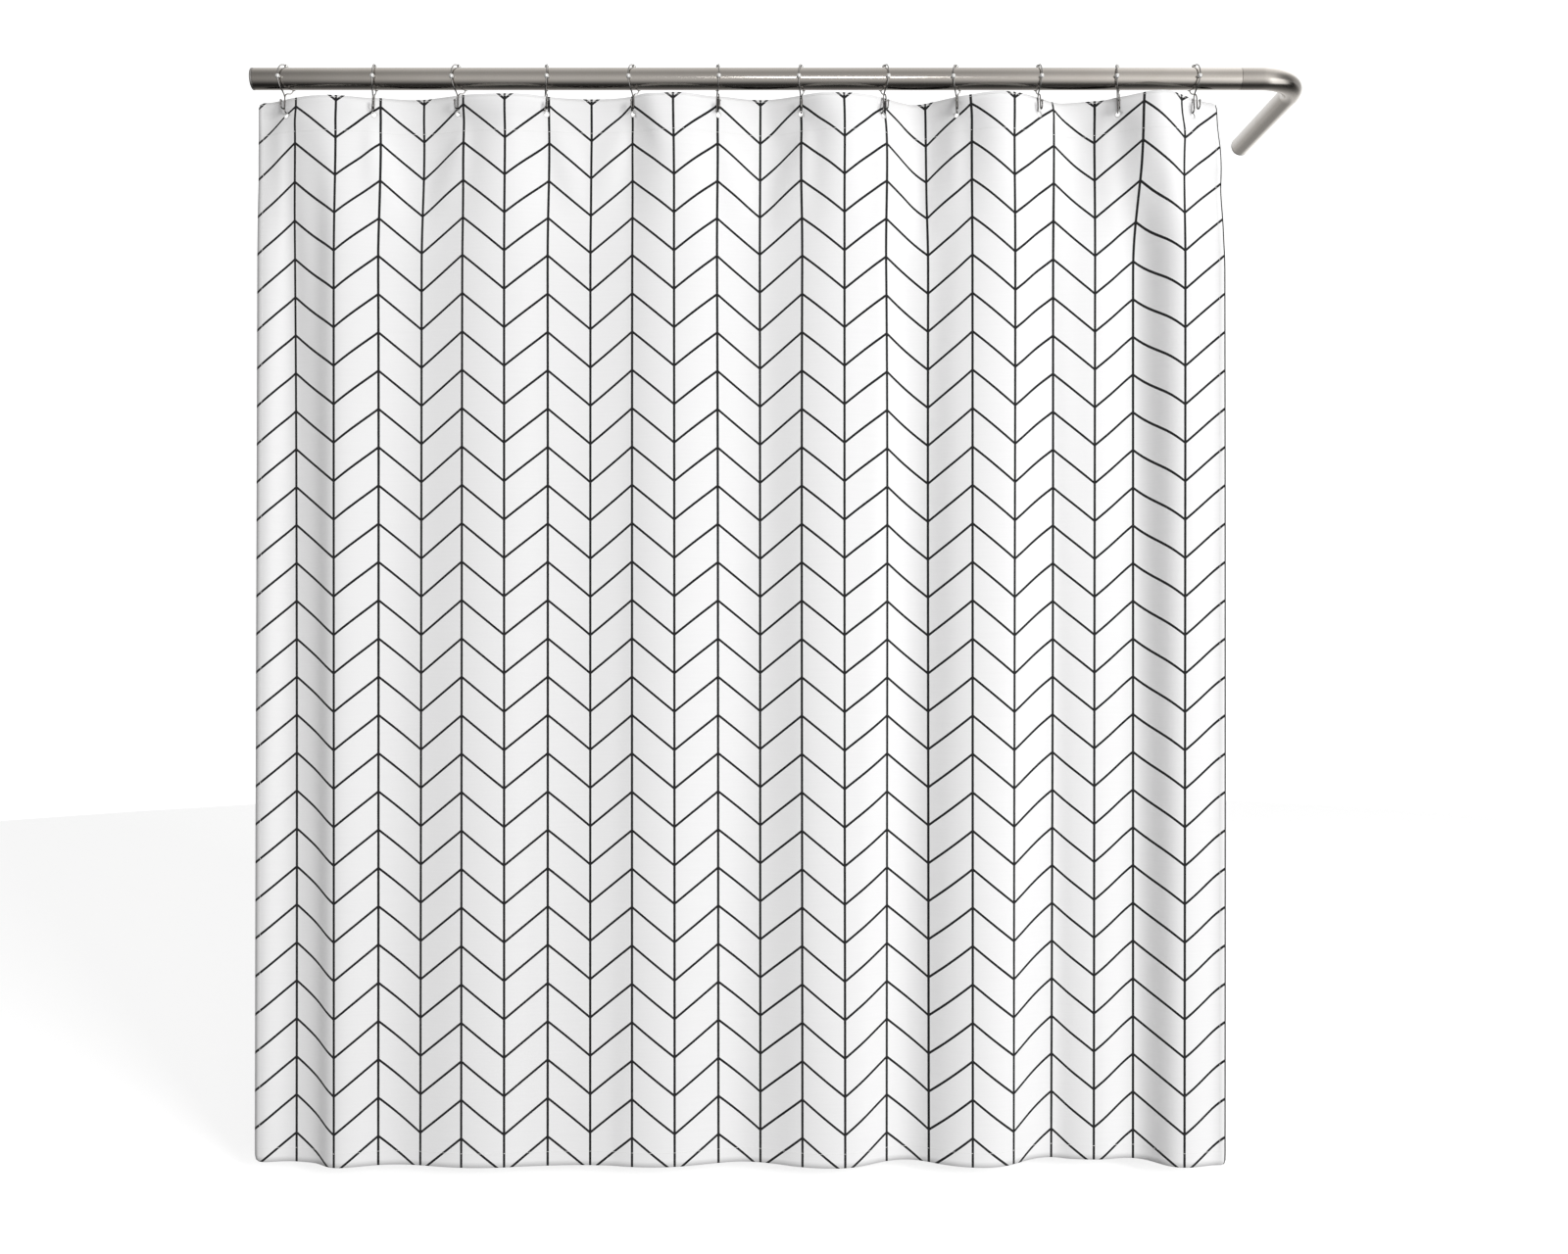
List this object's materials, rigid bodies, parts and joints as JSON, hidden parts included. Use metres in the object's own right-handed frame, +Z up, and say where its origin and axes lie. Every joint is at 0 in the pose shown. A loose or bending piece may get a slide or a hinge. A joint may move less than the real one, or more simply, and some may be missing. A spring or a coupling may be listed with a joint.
{
  "type": "shower curtain",
  "caption": "Fabric shower curtain with a line and chevron print, hung by wire roller hooks from an L-shaped metal rod that ends in wall sockets.",
  "frame": {"origin": "centre of the rod's flat end against the side wall, on the rod's axis", "axes": "+X along the rod away from the side wall, +Y into the stall towards the back wall, +Z up"},
  "size_m": [1.824, 0.3908, 1.8852],
  "materials": {
    "printed_cloth": "fine plain-weave polyester, white, printed with thin near-black upright lines and chevrons",
    "header_tape_cloth": "white woven reinforcing tape, matte",
    "brushed_nickel": "warm grey brushed nickel plating, satin",
    "cast_zinc": "plain cast metal, matte",
    "screw_steel": "plated steel",
    "hook_chrome": "polished plated wire",
    "roller_chrome": "bright polished balls"
  },
  "bodies": {
    "rod": {"rod_main_tube": "brushed_nickel", "rod_corner_tube": "brushed_nickel", "rod_joining_sleeve": "cast_zinc", "side_wall_socket": "cast_zinc", "back_wall_socket": "cast_zinc", "side_socket_screw": "screw_steel", "sleeve_screw_left": "screw_steel", "sleeve_screw_right": "screw_steel", "back_socket_screw": "screw_steel"},
    "curtain": {"curtain_panel": "printed_cloth", "header_tape": "header_tape_cloth"},
    "hook_12": {"hook_12": "hook_chrome"},
    "roller_12_rear": {"roller_12_rear": "roller_chrome"},
    "roller_12_top": {"roller_12_top": "roller_chrome"},
    "roller_12_front": {"roller_12_front": "roller_chrome"},
    "hook_11": {"hook_11": "hook_chrome"},
    "roller_11_rear": {"roller_11_rear": "roller_chrome"},
    "roller_11_top": {"roller_11_top": "roller_chrome"},
    "roller_11_front": {"roller_11_front": "roller_chrome"},
    "hook_10": {"hook_10": "hook_chrome"},
    "roller_10_rear": {"roller_10_rear": "roller_chrome"},
    "roller_10_top": {"roller_10_top": "roller_chrome"},
    "roller_10_front": {"roller_10_front": "roller_chrome"},
    "hook_09": {"hook_09": "hook_chrome"},
    "roller_09_rear": {"roller_09_rear": "roller_chrome"},
    "roller_09_top": {"roller_09_top": "roller_chrome"},
    "roller_09_front": {"roller_09_front": "roller_chrome"},
    "hook_08": {"hook_08": "hook_chrome"},
    "roller_08_rear": {"roller_08_rear": "roller_chrome"},
    "roller_08_top": {"roller_08_top": "roller_chrome"},
    "roller_08_front": {"roller_08_front": "roller_chrome"},
    "hook_07": {"hook_07": "hook_chrome"},
    "roller_07_rear": {"roller_07_rear": "roller_chrome"},
    "roller_07_top": {"roller_07_top": "roller_chrome"},
    "roller_07_front": {"roller_07_front": "roller_chrome"},
    "hook_06": {"hook_06": "hook_chrome"},
    "roller_06_rear": {"roller_06_rear": "roller_chrome"},
    "roller_06_top": {"roller_06_top": "roller_chrome"},
    "roller_06_front": {"roller_06_front": "roller_chrome"},
    "hook_05": {"hook_05": "hook_chrome"},
    "roller_05_rear": {"roller_05_rear": "roller_chrome"},
    "roller_05_top": {"roller_05_top": "roller_chrome"},
    "roller_05_front": {"roller_05_front": "roller_chrome"},
    "hook_04": {"hook_04": "hook_chrome"},
    "roller_04_rear": {"roller_04_rear": "roller_chrome"},
    "roller_04_top": {"roller_04_top": "roller_chrome"},
    "roller_04_front": {"roller_04_front": "roller_chrome"},
    "hook_03": {"hook_03": "hook_chrome"},
    "roller_03_rear": {"roller_03_rear": "roller_chrome"},
    "roller_03_top": {"roller_03_top": "roller_chrome"},
    "roller_03_front": {"roller_03_front": "roller_chrome"},
    "hook_02": {"hook_02": "hook_chrome"},
    "roller_02_rear": {"roller_02_rear": "roller_chrome"},
    "roller_02_top": {"roller_02_top": "roller_chrome"},
    "roller_02_front": {"roller_02_front": "roller_chrome"},
    "hook_01": {"hook_01": "hook_chrome"},
    "roller_01_rear": {"roller_01_rear": "roller_chrome"},
    "roller_01_top": {"roller_01_top": "roller_chrome"},
    "roller_01_front": {"roller_01_front": "roller_chrome"}
  },
  "joints": [
    {"name": "curtain_sway", "type": "hinge", "parent": "rod", "child": "curtain", "pos_m": [0, 0, 0], "axis": [1, 0, 0], "range_deg": [-15, 9]},
    {"name": "hook_12_slide", "type": "slide", "parent": "curtain", "child": "hook_12", "axis": [1, 0, 0], "range_m": [-1.20876, 0], "deforming": ["curtain_panel", "header_tape"]},
    {"name": "roller_12_rear_spin", "type": "hinge", "parent": "hook_12", "child": "roller_12_rear", "pos_m": [1.61403, 0.02164, -0.00953], "axis": [-0.0645, 0.3633, 0.9294], "continuous": true},
    {"name": "roller_12_top_spin", "type": "hinge", "parent": "hook_12", "child": "roller_12_top", "pos_m": [1.61702, 0.00312, 0.02259], "axis": [0.1509, -0.9792, 0.1354], "continuous": true},
    {"name": "roller_12_front_spin", "type": "hinge", "parent": "hook_12", "child": "roller_12_front", "pos_m": [1.62001, -0.02341, -0.0033], "axis": [-0.0645, 0.0975, -0.9931], "continuous": true},
    {"name": "hook_11_slide", "type": "slide", "parent": "curtain", "child": "hook_11", "axis": [1, 0, 0], "range_m": [-1.11283, 0]},
    {"name": "roller_11_rear_spin", "type": "hinge", "parent": "hook_11", "child": "roller_11_rear", "pos_m": [1.49137, 0.02101, -0.00945], "axis": [0.0315, 0.37, 0.9285], "continuous": true},
    {"name": "roller_11_top_spin", "type": "hinge", "parent": "hook_11", "child": "roller_11_top", "pos_m": [1.48524, 0.00312, 0.02259], "axis": [-0.2474, -0.9598, 0.1327], "continuous": true},
    {"name": "roller_11_front_spin", "type": "hinge", "parent": "hook_11", "child": "roller_11_front", "pos_m": [1.47912, -0.02278, -0.00339], "axis": [0.0315, 0.1041, -0.9941], "continuous": true},
    {"name": "hook_10_slide", "type": "slide", "parent": "curtain", "child": "hook_10", "axis": [1, 0, 0], "range_m": [-1.009, 0]},
    {"name": "roller_10_rear_spin", "type": "hinge", "parent": "hook_10", "child": "roller_10_rear", "pos_m": [1.34807, 0.02179, -0.00955], "axis": [-0.0481, 0.3672, 0.9289], "continuous": true},
    {"name": "roller_10_top_spin", "type": "hinge", "parent": "hook_10", "child": "roller_10_top", "pos_m": [1.34947, 0.00312, 0.02259], "axis": [0.0815, -0.9873, 0.1365], "continuous": true},
    {"name": "roller_10_front_spin", "type": "hinge", "parent": "hook_10", "child": "roller_10_front", "pos_m": [1.35087, -0.02356, -0.00328], "axis": [-0.0481, 0.1014, -0.9937], "continuous": true},
    {"name": "hook_09_slide", "type": "slide", "parent": "curtain", "child": "hook_09", "axis": [1, 0, 0], "range_m": [-0.90595, 0]},
    {"name": "roller_09_rear_spin", "type": "hinge", "parent": "hook_09", "child": "roller_09_rear", "pos_m": [1.21673, 0.02039, -0.00936], "axis": [0.0523, 0.3664, 0.929], "continuous": true},
    {"name": "roller_09_top_spin", "type": "hinge", "parent": "hook_09", "child": "roller_09_top", "pos_m": [1.2087, 0.00312, 0.02259], "axis": [-0.3309, -0.9348, 0.1293], "continuous": true},
    {"name": "roller_09_front_spin", "type": "hinge", "parent": "hook_09", "child": "roller_09_front", "pos_m": [1.20066, -0.02217, -0.00348], "axis": [0.0523, 0.1005, -0.9936], "continuous": true},
    {"name": "hook_08_slide", "type": "slide", "parent": "curtain", "child": "hook_08", "axis": [1, 0, 0], "range_m": [-0.8096, 0]},
    {"name": "roller_08_rear_spin", "type": "hinge", "parent": "hook_08", "child": "roller_08_rear", "pos_m": [1.07957, 0.02121, -0.00947], "axis": [-0.0884, 0.3554, 0.9305], "continuous": true},
    {"name": "roller_08_top_spin", "type": "hinge", "parent": "hook_08", "child": "roller_08_top", "pos_m": [1.08492, 0.00312, 0.02259], "axis": [0.2534, -0.9583, 0.1325], "continuous": true},
    {"name": "roller_08_front_spin", "type": "hinge", "parent": "hook_08", "child": "roller_08_front", "pos_m": [1.09028, -0.02298, -0.00336], "axis": [-0.0884, 0.0896, -0.992], "continuous": true},
    {"name": "hook_07_slide", "type": "slide", "parent": "curtain", "child": "hook_07", "axis": [1, 0, 0], "range_m": [-0.70508, 0]},
    {"name": "roller_07_rear_spin", "type": "hinge", "parent": "hook_07", "child": "roller_07_rear", "pos_m": [0.94672, 0.02138, -0.0095], "axis": [0.0148, 0.3716, 0.9283], "continuous": true},
    {"name": "roller_07_top_spin", "type": "hinge", "parent": "hook_07", "child": "roller_07_top", "pos_m": [0.94215, 0.00312, 0.02259], "axis": [-0.1792, -0.9745, 0.1348], "continuous": true},
    {"name": "roller_07_front_spin", "type": "hinge", "parent": "hook_07", "child": "roller_07_front", "pos_m": [0.93758, -0.02315, -0.00334], "axis": [0.0148, 0.1057, -0.9943], "continuous": true},
    {"name": "hook_06_slide", "type": "slide", "parent": "curtain", "child": "hook_06", "axis": [1, 0, 0], "range_m": [-0.59622, 0]},
    {"name": "roller_06_rear_spin", "type": "hinge", "parent": "hook_06", "child": "roller_06_rear", "pos_m": [0.79717, 0.02173, -0.00955], "axis": [-0.0563, 0.3654, 0.9291], "continuous": true},
    {"name": "roller_06_top_spin", "type": "hinge", "parent": "hook_06", "child": "roller_06_top", "pos_m": [0.79937, 0.00312, 0.02259], "axis": [0.1163, -0.9839, 0.136], "continuous": true},
    {"name": "roller_06_front_spin", "type": "hinge", "parent": "hook_06", "child": "roller_06_front", "pos_m": [0.80157, -0.0235, -0.00329], "axis": [-0.0563, 0.0996, -0.9934], "continuous": true},
    {"name": "hook_05_slide", "type": "slide", "parent": "curtain", "child": "hook_05", "axis": [1, 0, 0], "range_m": [-0.49006, 0]},
    {"name": "roller_05_rear_spin", "type": "hinge", "parent": "hook_05", "child": "roller_05_rear", "pos_m": [0.6615, 0.02078, -0.00941], "axis": [0.0399, 0.3687, 0.9287], "continuous": true},
    {"name": "roller_05_top_spin", "type": "hinge", "parent": "hook_05", "child": "roller_05_top", "pos_m": [0.6546, 0.00312, 0.02259], "axis": [-0.2811, -0.9506, 0.1315], "continuous": true},
    {"name": "roller_05_front_spin", "type": "hinge", "parent": "hook_05", "child": "roller_05_front", "pos_m": [0.6477, -0.02256, -0.00342], "axis": [0.0399, 0.1029, -0.9939], "continuous": true},
    {"name": "hook_04_slide", "type": "slide", "parent": "curtain", "child": "hook_04", "axis": [1, 0, 0], "range_m": [-0.37491, 0]},
    {"name": "roller_04_rear_spin", "type": "hinge", "parent": "hook_04", "child": "roller_04_rear", "pos_m": [0.50104, 0.02152, -0.00952], "axis": [-0.0725, 0.361, 0.9297], "continuous": true},
    {"name": "roller_04_top_spin", "type": "hinge", "parent": "hook_04", "child": "roller_04_top", "pos_m": [0.50482, 0.00312, 0.02259], "axis": [0.1853, -0.9734, 0.1346], "continuous": true},
    {"name": "roller_04_front_spin", "type": "hinge", "parent": "hook_04", "child": "roller_04_front", "pos_m": [0.50861, -0.0233, -0.00332], "axis": [-0.0725, 0.0951, -0.9928], "continuous": true},
    {"name": "hook_03_slide", "type": "slide", "parent": "curtain", "child": "hook_03", "axis": [1, 0, 0], "range_m": [-0.26486, 0]},
    {"name": "roller_03_rear_spin", "type": "hinge", "parent": "hook_03", "child": "roller_03_rear", "pos_m": [0.3617, 0.02053, -0.00938], "axis": [0.0482, 0.3672, 0.9289], "continuous": true},
    {"name": "roller_03_top_spin", "type": "hinge", "parent": "hook_03", "child": "roller_03_top", "pos_m": [0.35405, 0.00312, 0.02259], "axis": [-0.3144, -0.9403, 0.13], "continuous": true},
    {"name": "roller_03_front_spin", "type": "hinge", "parent": "hook_03", "child": "roller_03_front", "pos_m": [0.34639, -0.0223, -0.00346], "axis": [0.0482, 0.1014, -0.9937], "continuous": true},
    {"name": "hook_02_slide", "type": "slide", "parent": "curtain", "child": "hook_02", "axis": [1, 0, 0], "range_m": [-0.15355, 0]},
    {"name": "roller_02_rear_spin", "type": "hinge", "parent": "hook_02", "child": "roller_02_rear", "pos_m": [0.20668, 0.02169, -0.00954], "axis": [-0.0604, 0.3644, 0.9293], "continuous": true},
    {"name": "roller_02_top_spin", "type": "hinge", "parent": "hook_02", "child": "roller_02_top", "pos_m": [0.20927, 0.00312, 0.02259], "axis": [0.1336, -0.9817, 0.1357], "continuous": true},
    {"name": "roller_02_front_spin", "type": "hinge", "parent": "hook_02", "child": "roller_02_front", "pos_m": [0.21187, -0.02346, -0.0033], "axis": [-0.0604, 0.0986, -0.9933], "continuous": true},
    {"name": "hook_01_slide", "type": "slide", "parent": "curtain", "child": "hook_01", "axis": [1, 0, 0], "range_m": [-0.04213, 0]},
    {"name": "roller_01_rear_spin", "type": "hinge", "parent": "hook_01", "child": "roller_01_rear", "pos_m": [0.06401, 0.0209, -0.00943], "axis": [0.0357, 0.3694, 0.9286], "continuous": true},
    {"name": "roller_01_top_spin", "type": "hinge", "parent": "hook_01", "child": "roller_01_top", "pos_m": [0.0575, 0.00312, 0.02259], "axis": [-0.2643, -0.9554, 0.1321], "continuous": true},
    {"name": "roller_01_front_spin", "type": "hinge", "parent": "hook_01", "child": "roller_01_front", "pos_m": [0.05099, -0.02267, -0.00341], "axis": [0.0357, 0.1036, -0.994], "continuous": true}
  ],
  "couplings": [
    {"joint": "hook_11_slide", "follows": "hook_12_slide", "ratio": 0.92023},
    {"joint": "hook_10_slide", "follows": "hook_12_slide", "ratio": 0.83433},
    {"joint": "hook_09_slide", "follows": "hook_12_slide", "ratio": 0.74907},
    {"joint": "hook_08_slide", "follows": "hook_12_slide", "ratio": 0.66936},
    {"joint": "hook_07_slide", "follows": "hook_12_slide", "ratio": 0.5829},
    {"joint": "hook_06_slide", "follows": "hook_12_slide", "ratio": 0.49284},
    {"joint": "hook_05_slide", "follows": "hook_12_slide", "ratio": 0.40501},
    {"joint": "hook_04_slide", "follows": "hook_12_slide", "ratio": 0.30975},
    {"joint": "hook_03_slide", "follows": "hook_12_slide", "ratio": 0.2187},
    {"joint": "hook_02_slide", "follows": "hook_12_slide", "ratio": 0.12662},
    {"joint": "hook_01_slide", "follows": "hook_12_slide", "ratio": 0.034436}
  ]
}
